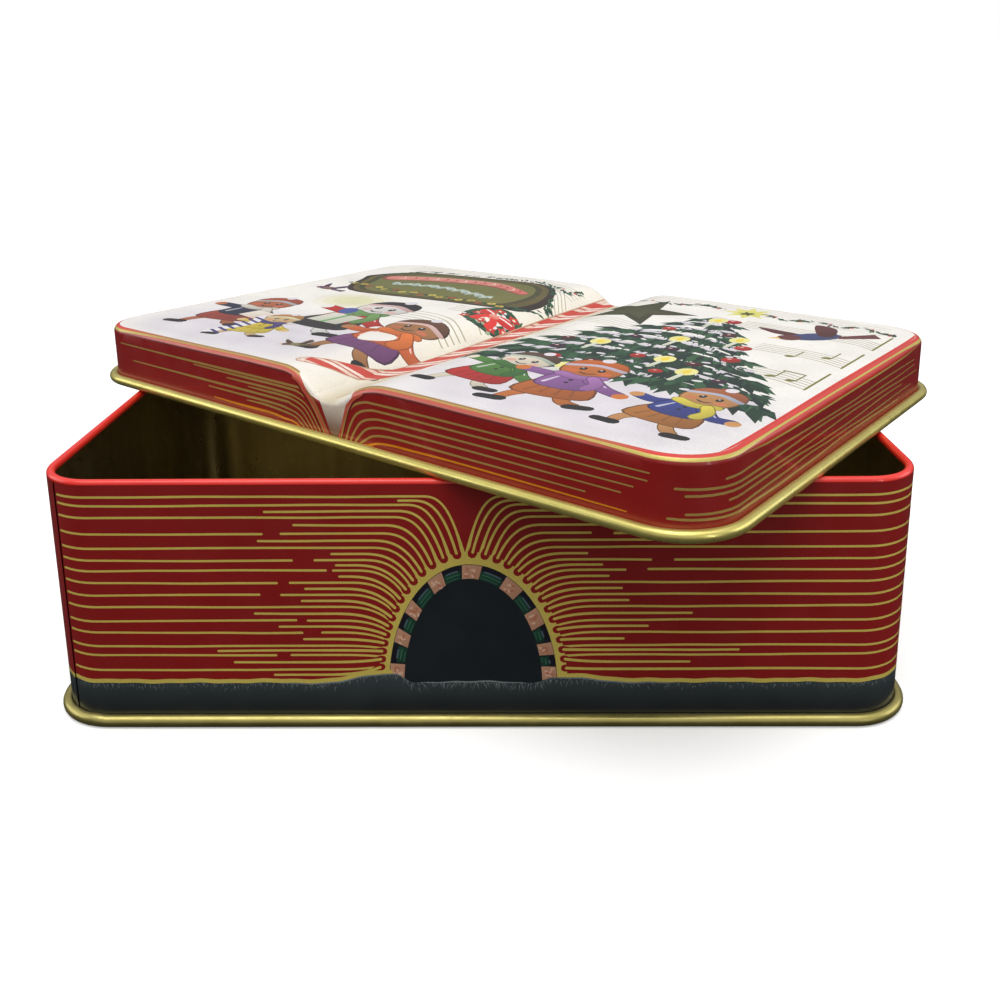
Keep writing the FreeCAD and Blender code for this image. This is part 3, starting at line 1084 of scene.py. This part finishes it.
def garland(art, path, count):
    leaves(art, path, 3.2, round(count * 1.3), 0.0, 160.0)
    line = smooth(path, steps=6)
    for point in line[2::7]:
        art.fill(oval(*point, 0.7, count=8), BAUBLES[0])


def draw_tree(art):
    """A snowy tree, painted from its lowest boughs up."""
    for level in range(TREE_ROWS):
        up = level / (TREE_ROWS - 1)
        middle, y, half = 59 - 6 * up, -25 + 72 * up, 39 * (1 - up) + 6
        length = 10.5 - 4.5 * up
        path = [(middle - half, y - 3), (middle - half * 0.4, y + 2)]
        path += [(middle + half * 0.4, y + 1), (middle + half, y - 7)]
        body = stroke(path, length * 0.4, length * 0.85, length * 0.85, length * 0.3)
        art.fill(place(body, 0, -length * 0.35), NEEDLES[0], dark=NEEDLES[3])
        leaves(art, path, length * 1.1, round(26 + half * 1.9))
        crown = smooth(path, steps=5)
        for point in crown[1:-1]:
            if RANDOM.random() < 0.7:
                size = length * RANDOM.uniform(0.14, 0.28)
                at = point + RANDOM.uniform(-1, 1, 2) * (2, 0.8)
                clump = oval(at[0], at[1] + size * 0.4, size * 1.7, size * 0.7, -8, 12)
                art.fill(clump, SNOW, dark=SNOW_SHADE)
        leaves(art, [(x, y + 0.5) for x, y in path], length * 0.5, round(half * 0.9))
        for point in crown[2:-2:3]:
            tail = point + RANDOM.uniform(-2.5, 2.5, 2) - (0, length * 0.5)
            art.fill(oval(*tail, length * 0.16, length * 0.08, RANDOM.uniform(-30, 10), 10), SNOW)
    for k, (x, y) in enumerate(BAUBLE_PLACES):
        bauble(art, x, y, RANDOM.uniform(2.0, 2.9), BAUBLES[k % 4])
    for x, y in CANDLE_PLACES:
        candle(art, x, y)


def doll(art, x, y, size, turn, *colours, lean=1.0):
    """A plain dressed figure, ten units tall, standing with its feet at x, y."""
    skin, coat, skirt, cap, scarf = (ink(*colour) for colour in colours)
    pale = mixed(coat, (1, 1, 1), 0.5)
    mark = marker(art, x, y, turn, size)

    def shape(points, colour, share=None):
        """A rounded shape. Where it is shaded it has a dark outline too."""
        ring = smooth(points, closed=True, steps=4)
        if share:
            middle = ring.mean(axis=0)
            mark(middle + (ring - middle) * 1.07, darker(colour, 0.3))
        mark(ring, colour, share)

    def limb(points, colour, *widths):
        if widths[0] > 0.5:
            mark(stroke(points, *[w + 0.16 for w in widths], steps=4), darker(colour, 0.3))
        mark(stroke(points, *widths, steps=4), colour, 0.55)

    limb([(-0.8, 2.6), (-1.7, 1.4), (-1.6 - 0.5 * lean, 0.2)], skin, 0.95, 0.7)
    limb([(0.8, 2.6), (1.5, 1.3), (2.4, 0.5 + 0.4 * lean)], skin, 0.95, 0.7)
    limb([(-2.6 - 0.5 * lean, 0.0), (-1.3 - 0.5 * lean, 0.1)], DARK, 0.6, 0.7)
    limb([(2.2, 0.3 + 0.4 * lean), (3.3, 0.5 + 0.4 * lean)], DARK, 0.7, 0.6)
    limb([(-1.0, 5.8), (-2.4, 5.0 + lean), (-3.7, 5.2 + lean)], coat, 1.0, 0.9)
    shape([(-1.4, 5.0), (1.4, 5.0), (2.5, 2.3), (0.2, 1.7), (-2.3, 2.2)], skirt, 0.5)
    for k in range(4):
        fold = [(-0.9 + 0.6 * k, 4.0), (-1.5 + 1.0 * k, 2.3)]
        mark(stroke(fold, 0.08, 0.22, steps=2), darker(skirt, 0.5))
    shape([(-1.3, 6.3), (1.3, 6.3), (1.8, 4.0), (0, 3.4), (-1.8, 4.0)], coat, 0.5)
    mark(stroke([(-1.1, 5.6), (-1.4, 4.3)], 0.15, 0.3, steps=3), pale)
    limb([(1.0, 5.8), (2.3, 4.6), (3.6, 4.9 - lean)], coat, 1.0, 0.9)
    mark(stroke([(1.4, 5.7), (2.4, 4.9)], 0.2, 0.1, steps=3), pale)
    shape(oval(-3.9, 5.25 + lean, 0.5, count=8), skin)
    shape(oval(3.8, 4.8 - lean, 0.5, count=8), skin)
    shape(oval(0, 7.8, 1.9, 1.75, count=12), skin, 0.62)
    for side in (-1.1, 1.1):
        shape(oval(side, 7.3, 0.42, 0.3, count=8), mixed(skin, SALMON, 0.5))
    shape([(-1.9, 8.3), (-1.5, 9.6), (0, 10.1), (1.5, 9.6), (1.9, 8.3), (0, 8.9)], cap, 0.5)
    limb([(-1.9, 8.3), (0, 8.9), (1.9, 8.3)], pale, 0.45)
    shape(oval(0, 10.2, 0.45, count=8), SNOW)
    for side in (-0.62, 0.62):
        shape(oval(side, 7.9, 0.24, 0.32, count=8), DARK)
        shape(oval(side - 0.08, 8.02, 0.08, count=6), SNOW)
    limb([(-0.5, 7.1), (0, 6.9), (0.5, 7.1)], DARK, 0.12, 0.16, 0.12)
    limb([(-1.4, 6.4), (0, 6.0), (1.4, 6.4)], scarf, 0.8)
    limb([(0.9, 6.2), (1.6, 5.2), (1.5, 4.2)], scarf, 0.75, 0.9)
    for button in (4.7, 5.3):
        shape(oval(-0.1, button, 0.16, count=7), DARK)


def present(art, x, y, width, height, turn, paper, ribbon):
    mark = marker(art, x, y, turn)
    mark([(-width / 2, 0), (width / 2, 0), (width / 2, height), (-width / 2, height)], paper, 0.6)
    mark([(-0.9, 0), (0.9, 0), (0.9, height), (-0.9, height)], ribbon)
    for side in (-1, 1):
        mark(oval(side * 2.0, height + 1.2, 2.1, 1.2, side * 25, 12), ribbon, 0.5)


def bird(art, x, y, size, turn, back, breast):
    """A small plain bird in flight."""
    mark = marker(art, x, y, turn, size)
    mark(smooth([(-0.5, 0.3), (-3.4, 3.0), (-2.6, 0.9), (-0.2, -0.6)], closed=True), back, 0.4)
    mark(oval(0, 0, 2.0, 1.05, 12), breast, 0.5)
    mark([(1.6, 0.1), (4.4, 0.8), (4.5, -0.5), (1.5, -0.6)], back)
    mark(oval(-1.9, -0.3, 0.85, 0.8, count=12), back)
    mark([(-2.6, -0.1), (-3.5, -0.4), (-2.6, -0.6)], ink(226, 170, 60))
    mark(smooth([(0.3, 0.4), (0.9, 3.6), (2.1, 2.4), (1.3, 0.1)], closed=True), back, 0.5)


def candy_stripes(art, path, width, step=15.0):
    """A ribbon with long slanted red stripes over pinkish white, shaded at its edges."""
    line = smooth(path, steps=10)
    along = np.concatenate([[0], np.cumsum(np.linalg.norm(np.diff(line, axis=0), axis=1))])
    art.fill(stroke(path, width * 1.12, steps=10), ink(192, 152, 128))
    art.fill(stroke(path, width * 0.9, steps=10), ink(230, 200, 182))
    art.fill(stroke(path, width * 0.4, steps=10), ink(242, 224, 212))

    def at(distance, offset):
        point = np.array([np.interp(distance, along, line[:, k]) for k in (0, 1)])
        ahead = np.array([np.interp(distance + 0.5, along, line[:, k]) for k in (0, 1)]) - point
        ahead /= max(np.linalg.norm(ahead), 1e-6)
        return point + offset * np.array([-ahead[1], ahead[0]])

    slant = step * 0.75
    for begin in np.arange(slant / 2, along[-1] - step * 0.25, step):
        for shift, share, colour in ((0, 0.5, ink(200, 74, 62)), (step * 0.68, 0.1, ink(188, 92, 78))):
            rows = np.linspace(-0.5, 0.5, 7)
            front = [at(begin + shift - slant * r, width * r) for r in rows]
            back = [at(begin + shift + step * share - slant * r, width * r) for r in rows[::-1]]
            art.fill(front + back, colour)


# Staves on each page: path, line width, number of lines and gap
LEFT_STAVES = [
    ([(-44, -0.5), (-24, -1), (-7.5, -9)], 0.5, 5, 2.8),
    ([(-30, 15), (-20, 14), (-8, 6)], 0.4, 4, 2.2),
    ([(-96, 68), (-50, 71), (-10, 62)], 0.3, 5, 2.0),
    ([(-40, 63), (-20, 60), (-7, 46)], 0.3, 5, 2.2),
]
RIGHT_STAVES = [
    ([(14, 67), (50, 71), (100, 67)], 0.25, 5, 2.4),
    ([(12, 30), (24, 29), (38, 25)], 0.3, 5, 2.2),
    ([(12, 8), (20, 6), (30, 4)], 0.3, 5, 2.2),
]


def draw_left_page(art):
    for size, shade in ((16, ink(242, 238, 222)), (12, ink(236, 231, 202)), (8, ink(228, 224, 184))):
        art.fill(oval(-67, 0, size, size * 0.8, 0, 24), shade)
    for row in LEFT_STAVES:
        stave(art, *row)
    draw_plaque(art)
    draw_wreath(art, -13, 11, 7.2)
    garland(art, [(-20, 62), (-15, 58), (-11, 64)], 22)
    bird(art, -93, 12, 2.2, -10, ink(84, 60, 96), ink(150, 110, 96))
    doll(art, -82, -55, 4.5, 8, (186, 106, 72), (48, 50, 78), (168, 72, 58), (178, 84, 60), (226, 218, 206))
    sheet = place([(-6, -3), (5, -5), (6, 4), (-5, 5)], -77, -35, 0)
    art.fill(sheet, ink(240, 234, 224), dark=ink(214, 190, 168))
    doll(art, -50, -46, 5.3, -4, (240, 236, 230), (204, 52, 46), (60, 56, 58), (48, 46, 50), (122, 164, 96))
    present(art, -51, -30, 15, 12, -4, ink(232, 232, 214), ink(122, 170, 110))
    art.fill(oval(-56, -13, 3.4, 4.5, 30), ink(76, 88, 160))
    yellows = (232, 204, 66), (236, 210, 80)
    doll(art, -60, -60, 3.2, 10, (222, 190, 140), *yellows, (196, 140, 84), (86, 74, 130))
    art.fill(stroke([(-73, -36), (-68, -46), (-71, -60)], 3.2, 3.6, 2.8), ink(232, 228, 232))
    for k in range(7):
        low = -38 - 3.3 * k
        stripe = stroke([(-73.5 + k * 0.4, low), (-67 + k * 0.2, low - 1.8)], 1.2, steps=2)
        art.fill(stripe, ink(70, 62, 118))
    clothes = (222, 108, 60), (132, 78, 130), (112, 74, 54), (234, 122, 58)
    doll(art, -20, -56, 4.7, 0, (176, 122, 78), *clothes, lean=0.3)
    art.fill(smooth([(-27, -31), (-16, -31), (-17, -38), (-24, -40)], True), ink(240, 234, 226))
    bird(art, -33, -56, 1.7, 20, ink(98, 74, 56), ink(150, 140, 96))


PLAQUE_RIM = np.array([
    (-97, 34), (-99, 43), (-86, 57), (-52, 62), (-27, 62),
    (-15, 50), (-11, 33), (-17, 20), (-50, 16), (-84, 14),
])
PLAQUE_MIDDLE = np.array([-56, 38])
PLAQUE_RINGS = [
    (1.0, ink(60, 46, 36), ink(44, 34, 30)),
    (0.94, ink(112, 100, 54), ink(88, 78, 44)),
    (0.88, ink(66, 66, 42), ink(76, 74, 44)),
    (0.82, ink(104, 108, 62), ink(120, 116, 66)),
]
SCROLL = np.array([(-88, 42), (-70, 49), (-45, 52), (-25, 44)])


def draw_plaque(art):
    """A tilted name board with a scroll and rows of sprigs and flowers, and nothing written on it."""
    for share, light, dark in PLAQUE_RINGS:
        art.fill(smooth(PLAQUE_RIM * share + PLAQUE_MIDDLE * (1 - share), True), light, dark=dark)
    art.fill(stroke(SCROLL, 9.5, 8.5, 7.5, 5), ink(142, 76, 66))
    face = SCROLL + [0, 0.5]
    front = stroke([(-87, 42.5), *face[1:]], 8, 7, 6, 3.6)
    art.fill(front, ink(222, 160, 146), dark=ink(206, 96, 84))
    for k in range(14):
        x = -84 + 4.3 * k
        y = float(np.interp(x, face[:, 0], face[:, 1]))
        curl = stroke([(x - 1, y + 2.2), (x + 0.6, y), (x - 0.6, y - 2.2)], 0.5, 0.9, 0.4)
        art.fill(curl, ink(176, 72, 66) if k % 3 else ink(240, 206, 190))
    for k in range(12):
        x, y = -78 + 4.2 * k, 33.5 + 3.5 * math.sin(k * 0.35)
        petal = oval(x, y, 3.0, 1.7, 60 if k % 2 else 120, 10)
        art.fill(petal, ink(206, 216, 208), dark=ink(124, 150, 136))
        art.fill(oval(x + 2.1, y, 0.8, count=7), ink(232, 232, 216))
    for k in range(17):
        x, y = -92 + 4.6 * k, 22 + 3.5 * math.exp(-k / 2) + 1.6 * (k % 2)
        leaves(art, [(x - 2, y), (x + 2, y)], 3.0, 7, 0.0, 200.0)
        art.fill(oval(x, y, 1.7, 1.4, 20, 9), FLOWERS[k % 3])
        art.fill(oval(x, y, 0.6, count=6), ink(120, 92, 40))
    leaves(art, [(-97, 44), (-86, 58), (-52, 63), (-28, 63), (-14, 50)], 3.4, 120, 90.0, 80.0)
    leaves(art, [(-14, 48), (-10, 34), (-16, 21)], 3.6, 40, 0.0, 90.0)


def draw_wreath(art, x, y, radius):
    ring = [(x + radius * math.cos(a), y + radius * math.sin(a)) for a in np.linspace(0.0, 6.28, 14)]
    art.fill(stroke(ring, radius * 0.8), NEEDLES[2], dark=NEEDLES[0])
    leaves(art, ring, 5.5, 150, 0.0, 320.0)
    for a in RANDOM.permutation(np.linspace(0.2, 6.1, 22)):
        reach = radius + RANDOM.uniform(-3.0, 3.0)
        dot = (x + reach * math.cos(a), y + reach * math.sin(a))
        sprig = oval(*dot, 1.2, 0.7, RANDOM.uniform(0, 180), 9)
        art.fill(sprig, SPRIGS[RANDOM.integers(3)])
    for a in np.linspace(0.4, 6.0, 9):
        reach = radius + RANDOM.uniform(-2.0, 2.0)
        flower = (x + reach * math.cos(a), y + reach * math.sin(a))
        art.fill(star(*flower, 2.3, 1.3, 5, RANDOM.uniform(0, 90)), ink(220, 66, 56), dark=ink(168, 36, 36))
        art.fill(oval(*flower, 0.6, count=7), ink(244, 216, 190))
    for side in (-1, 1):
        loop = oval(x + side * 3.4, y + 2.6, 3.7, 2.6, side * 25)
        art.fill(loop, ink(226, 56, 50), dark=ink(176, 38, 38))
        tail = stroke([(x, y + 1), (x + side * 2.2, y - 2), (x + side * 3.0, y - 6)], 2.2, 2.6)
        art.fill(tail, ink(218, 54, 48))
        shine = stroke([(x + side * 1.2, y + 2.9), (x + side * 5.0, y + 4.2)], 0.8, steps=2)
        art.fill(shine, ink(248, 232, 226))
    art.fill(oval(x, y + 1.4, 1.7), ink(240, 170, 150), dark=ink(206, 84, 70))


def draw_right_page(art):
    for level, start in ((52, 60), (28, 76), (3, 84)):
        stave(art, [(start, level - 1), (94, level - 2), (104, level - 6)], 0.42)
        art.fill(stroke([(104, level + 4), (104.2, level - 14)], 0.7, steps=1), NOTE, GOLD_METAL)
    for x, y in ((88, 18), (97, 22), (92, -4), (98, -5)):
        note(art, x, y)
    art.fill(stroke([(93, 3), (99, 2)], 0.8, steps=1), NOTE, GOLD_METAL)
    for row in RIGHT_STAVES:
        stave(art, *row)
    art.fill(star(24, 43, 20.5, 8.0, 5, 87), ink(92, 90, 62), 0.35, dark=ink(66, 70, 54))
    art.fill(star(24, 43, 12, 4.6, 5, 87), ink(80, 80, 56), 0.35, dark=ink(96, 96, 70))
    draw_tree(art)
    art.fill(star(55, 62, 8.5, 4.2, 8, 10), ink(232, 228, 130), dark=ink(222, 214, 110))
    art.fill(star(55, 61, 3.4, 1.5, 6, 0), ink(90, 92, 40))
    garland(art, [(16, 62), (26, 60), (36, 63), (47, 63)], 50)
    garland(art, [(62, 64), (69, 60), (78, 62)], 34)
    garland(art, [(80, 64), (87, 61), (92, 63)], 26)
    garland(art, [(94, 65), (99, 60), (106, 57)], 26)
    bird(art, 85, 44, 4.2, 35, ink(104, 58, 56), ink(74, 84, 130))
    doll(art, 30, -61, 3.9, -6, (238, 226, 204), (88, 140, 66), (206, 50, 46), (98, 74, 62), (70, 120, 60))
    clothes = (150, 100, 164), (196, 108, 52), (212, 110, 52), (176, 120, 184)
    doll(art, 56, -62, 4.4, 6, (206, 118, 58), *clothes)
    clothes = (62, 72, 148), (190, 122, 62), (178, 104, 70), (230, 212, 84)
    doll(art, 85, -62, 3.9, -8, (204, 146, 92), *clothes, lean=0.2)


CANE = [(-5.4, 76), (-4.8, 40), (-3.8, 0), (-3.0, -34), (-4.4, -48), (-8.5, -57), (-14, -63), (-18.5, -66)]
PAGE_RIM = [(80, 73.4), (97, 73), (105, 70), (109.2, 62), (109.4, 0), (109.4, -62), (105, -70)]
PAGE_RIM += [(97, -73), (50, -73.4)]


def draw_pages(art):
    draw_left_page(art)
    draw_right_page(art)
    fold = [(FOLD_X, -76), (FOLD_X, 0), (FOLD_X, 76)]
    art.fill(stroke(fold, 0.45), ink(172, 154, 122))
    candy_stripes(art, CANE, 4.4)
    art.fill(stroke(PAGE_RIM, 0.4, 1.2, 2.0, 2.6, 2.6, 2.4, 1.8, 0.3, steps=8), BRIGHT_RED)


def make_lid_inside():
    """The lacquered underside: the pages' back and the inside of the skirt."""
    art = Artwork(page_outline(), INNER_GOLD, page_grid())
    piece = printed("lid_underside", "lid", art, under_page, INNER_LACQUER)
    piece.data.flip_normals()
    stops = near_gutter_stops(-STRAIGHT_X, PERIMETER - STRAIGHT_X)[:-1]
    points = []
    for s in stops:
        x, _ = around(s, LID_OUTER)
        top = page_height(x) - SHOULDER
        heights = [0.0, top * 0.5, top, top + 0.7, top + 1.4, top + SHOULDER_ARC * 0.97]
        width = len(heights)
        points.append(skirt_point(np.full(width, s), np.array(heights, float), SHEET))
    faces = ring_faces(len(stops), width, inward=True)
    make_mesh("lid_skirt_inside", "lid", np.vstack(points), faces, INNER_LACQUER)


# ---------------------------------------------------------------- studio

CAMERA_AT = Vector((9.1, -310.8, 160.0)) * MM
CAMERA_YAW = math.radians(0.75)
CAMERA_PITCH = math.radians(13.75)
CAMERA_ROLL = math.radians(-0.52)
CAMERA_LENS = 37.58
CAMERA_SHIFT = -0.16
FLOOR_HALF = 30.0
WORLD_LOW, WORLD_HIGH = 0.03, 0.82
WORLD_RAMP = (("From Min", -0.15), ("From Max", 1.0), ("To Min", WORLD_LOW), ("To Max", WORLD_HIGH))
SUN_POWER = 0.92
SUN_FROM = (-0.1, -0.35, 1.0)
SUN_SPREAD = math.radians(45)
# Panel lights: name, place, what they face, width and height, and power in watts
PANELS = [
    ("overhead_strip", (0.0, -0.2, 0.95), (0, 0, 0.05), (1.4, 0.22), 1.6),
    ("front_panel", (0.0, -1.6, 0.33), (0, 0, 0.33), (3.0, 0.8), 2.2),
    ("left_panel", (-0.95, 0.0, 0.35), (0, 0, 0.05), (0.7, 0.45), 1.8),
    ("right_panel", (0.95, 0.0, 0.35), (0, 0, 0.05), (0.7, 0.45), 1.8),
    ("corner_strip", (0.75, -1.0, 0.35), (0, 0, 0.05), (0.1, 0.7), 1.2),
]


def make_camera():
    data = bpy.data.cameras.new("camera")
    data.lens = CAMERA_LENS
    data.shift_y = CAMERA_SHIFT
    data.clip_start = 0.01
    camera = bpy.data.objects.new("camera", data)
    cos_yaw, sin_yaw = math.cos(CAMERA_YAW), math.sin(CAMERA_YAW)
    cos_pitch, sin_pitch = math.cos(CAMERA_PITCH), math.sin(CAMERA_PITCH)
    ahead = Vector((-sin_yaw * cos_pitch, cos_yaw * cos_pitch, -sin_pitch))
    right = Vector((cos_yaw, sin_yaw, 0))
    up = right.cross(ahead)
    turned_right = right * math.cos(CAMERA_ROLL) + up * math.sin(CAMERA_ROLL)
    turned_up = up * math.cos(CAMERA_ROLL) - right * math.sin(CAMERA_ROLL)
    turn = Matrix((turned_right, turned_up, -ahead)).transposed().to_4x4()
    camera.matrix_world = Matrix.Translation(CAMERA_AT) @ turn
    bpy.context.scene.collection.objects.link(camera)
    bpy.context.scene.camera = camera


def make_light(name, at, aim, size, power):
    data = bpy.data.lights.new(name, "AREA")
    data.shape = "RECTANGLE"
    data.size, data.size_y = size
    data.energy = power
    light = bpy.data.objects.new(name, data)
    light.location = at
    light.rotation_euler = (Vector(aim) - Vector(at)).to_track_quat("-Z", "Y").to_euler()
    bpy.context.scene.collection.objects.link(light)


def make_floor():
    """A white floor that the camera sees, but that neither lights the tin nor shows in its gloss."""
    n = Nodes("floor_white")
    n.link(n.blend(n.noise(6.0), grey(0.95), grey(0.97)), n.shader.inputs["Base Color"])
    n.set(Roughness=0.9, Emission_Color=(1, 1, 1, 1), Emission_Strength=0.25)
    mesh = bpy.data.meshes.new("floor")
    corners = [(x * FLOOR_HALF, y * FLOOR_HALF, 0) for x, y in ((-1, -1), (1, -1), (1, 1), (-1, 1))]
    mesh.from_pydata(corners, [], [(0, 1, 2, 3)])
    mesh.materials.append(n.material)
    floor = bpy.data.objects.new("floor", mesh)
    floor.visible_diffuse = False
    floor.visible_glossy = False
    bpy.context.scene.collection.objects.link(floor)
    floor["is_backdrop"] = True


def make_world():
    """White to the camera. As a light it is soft from above and dim from below."""
    world = bpy.data.worlds.new("studio")
    world.use_nodes = True
    nodes, links = world.node_tree.nodes, world.node_tree.links
    place = nodes.new("ShaderNodeTexCoord")
    split = nodes.new("ShaderNodeSeparateXYZ")
    links.new(place.outputs["Generated"], split.inputs[0])
    ramp = nodes.new("ShaderNodeMapRange")
    ramp.interpolation_type = "SMOOTHSTEP"
    for key, value in WORLD_RAMP:
        ramp.inputs[key].default_value = value
    links.new(split.outputs["Z"], ramp.inputs["Value"])
    seen = nodes.new("ShaderNodeLightPath")
    mix = nodes.new("ShaderNodeMix")
    mix.inputs[3].default_value = 1.0
    links.new(seen.outputs["Is Camera Ray"], mix.inputs[0])
    links.new(ramp.outputs["Result"], mix.inputs[2])
    links.new(mix.outputs[0], nodes["Background"].inputs["Strength"])
    nodes["Background"].inputs["Color"].default_value = (1, 1, 1, 1)
    bpy.context.scene.world = world


def make_sun():
    """The studio's big overhead light, wide enough for soft shadows."""
    data = bpy.data.lights.new("sun", "SUN")
    data.energy = SUN_POWER
    data.angle = SUN_SPREAD
    sun = bpy.data.objects.new("sun", data)
    sun.rotation_euler = Vector(SUN_FROM).to_track_quat("Z", "Y").to_euler()
    bpy.context.scene.collection.objects.link(sun)


def make_studio():
    make_floor()
    make_world()
    make_sun()
    for panel in PANELS:
        make_light(*panel)


def write_sizes():
    boxes = {"cad": CAD_BOX, "visual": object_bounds()}
    {key: [list(corner) for corner in box] for key, box in boxes.items()}


bpy.context.scene.view_settings.view_transform = "Standard"
make_camera()
make_studio()
make_wall()
make_lock_seam()
make_base()
make_skirt()
make_pages()
make_lid_inside()
write_sizes()
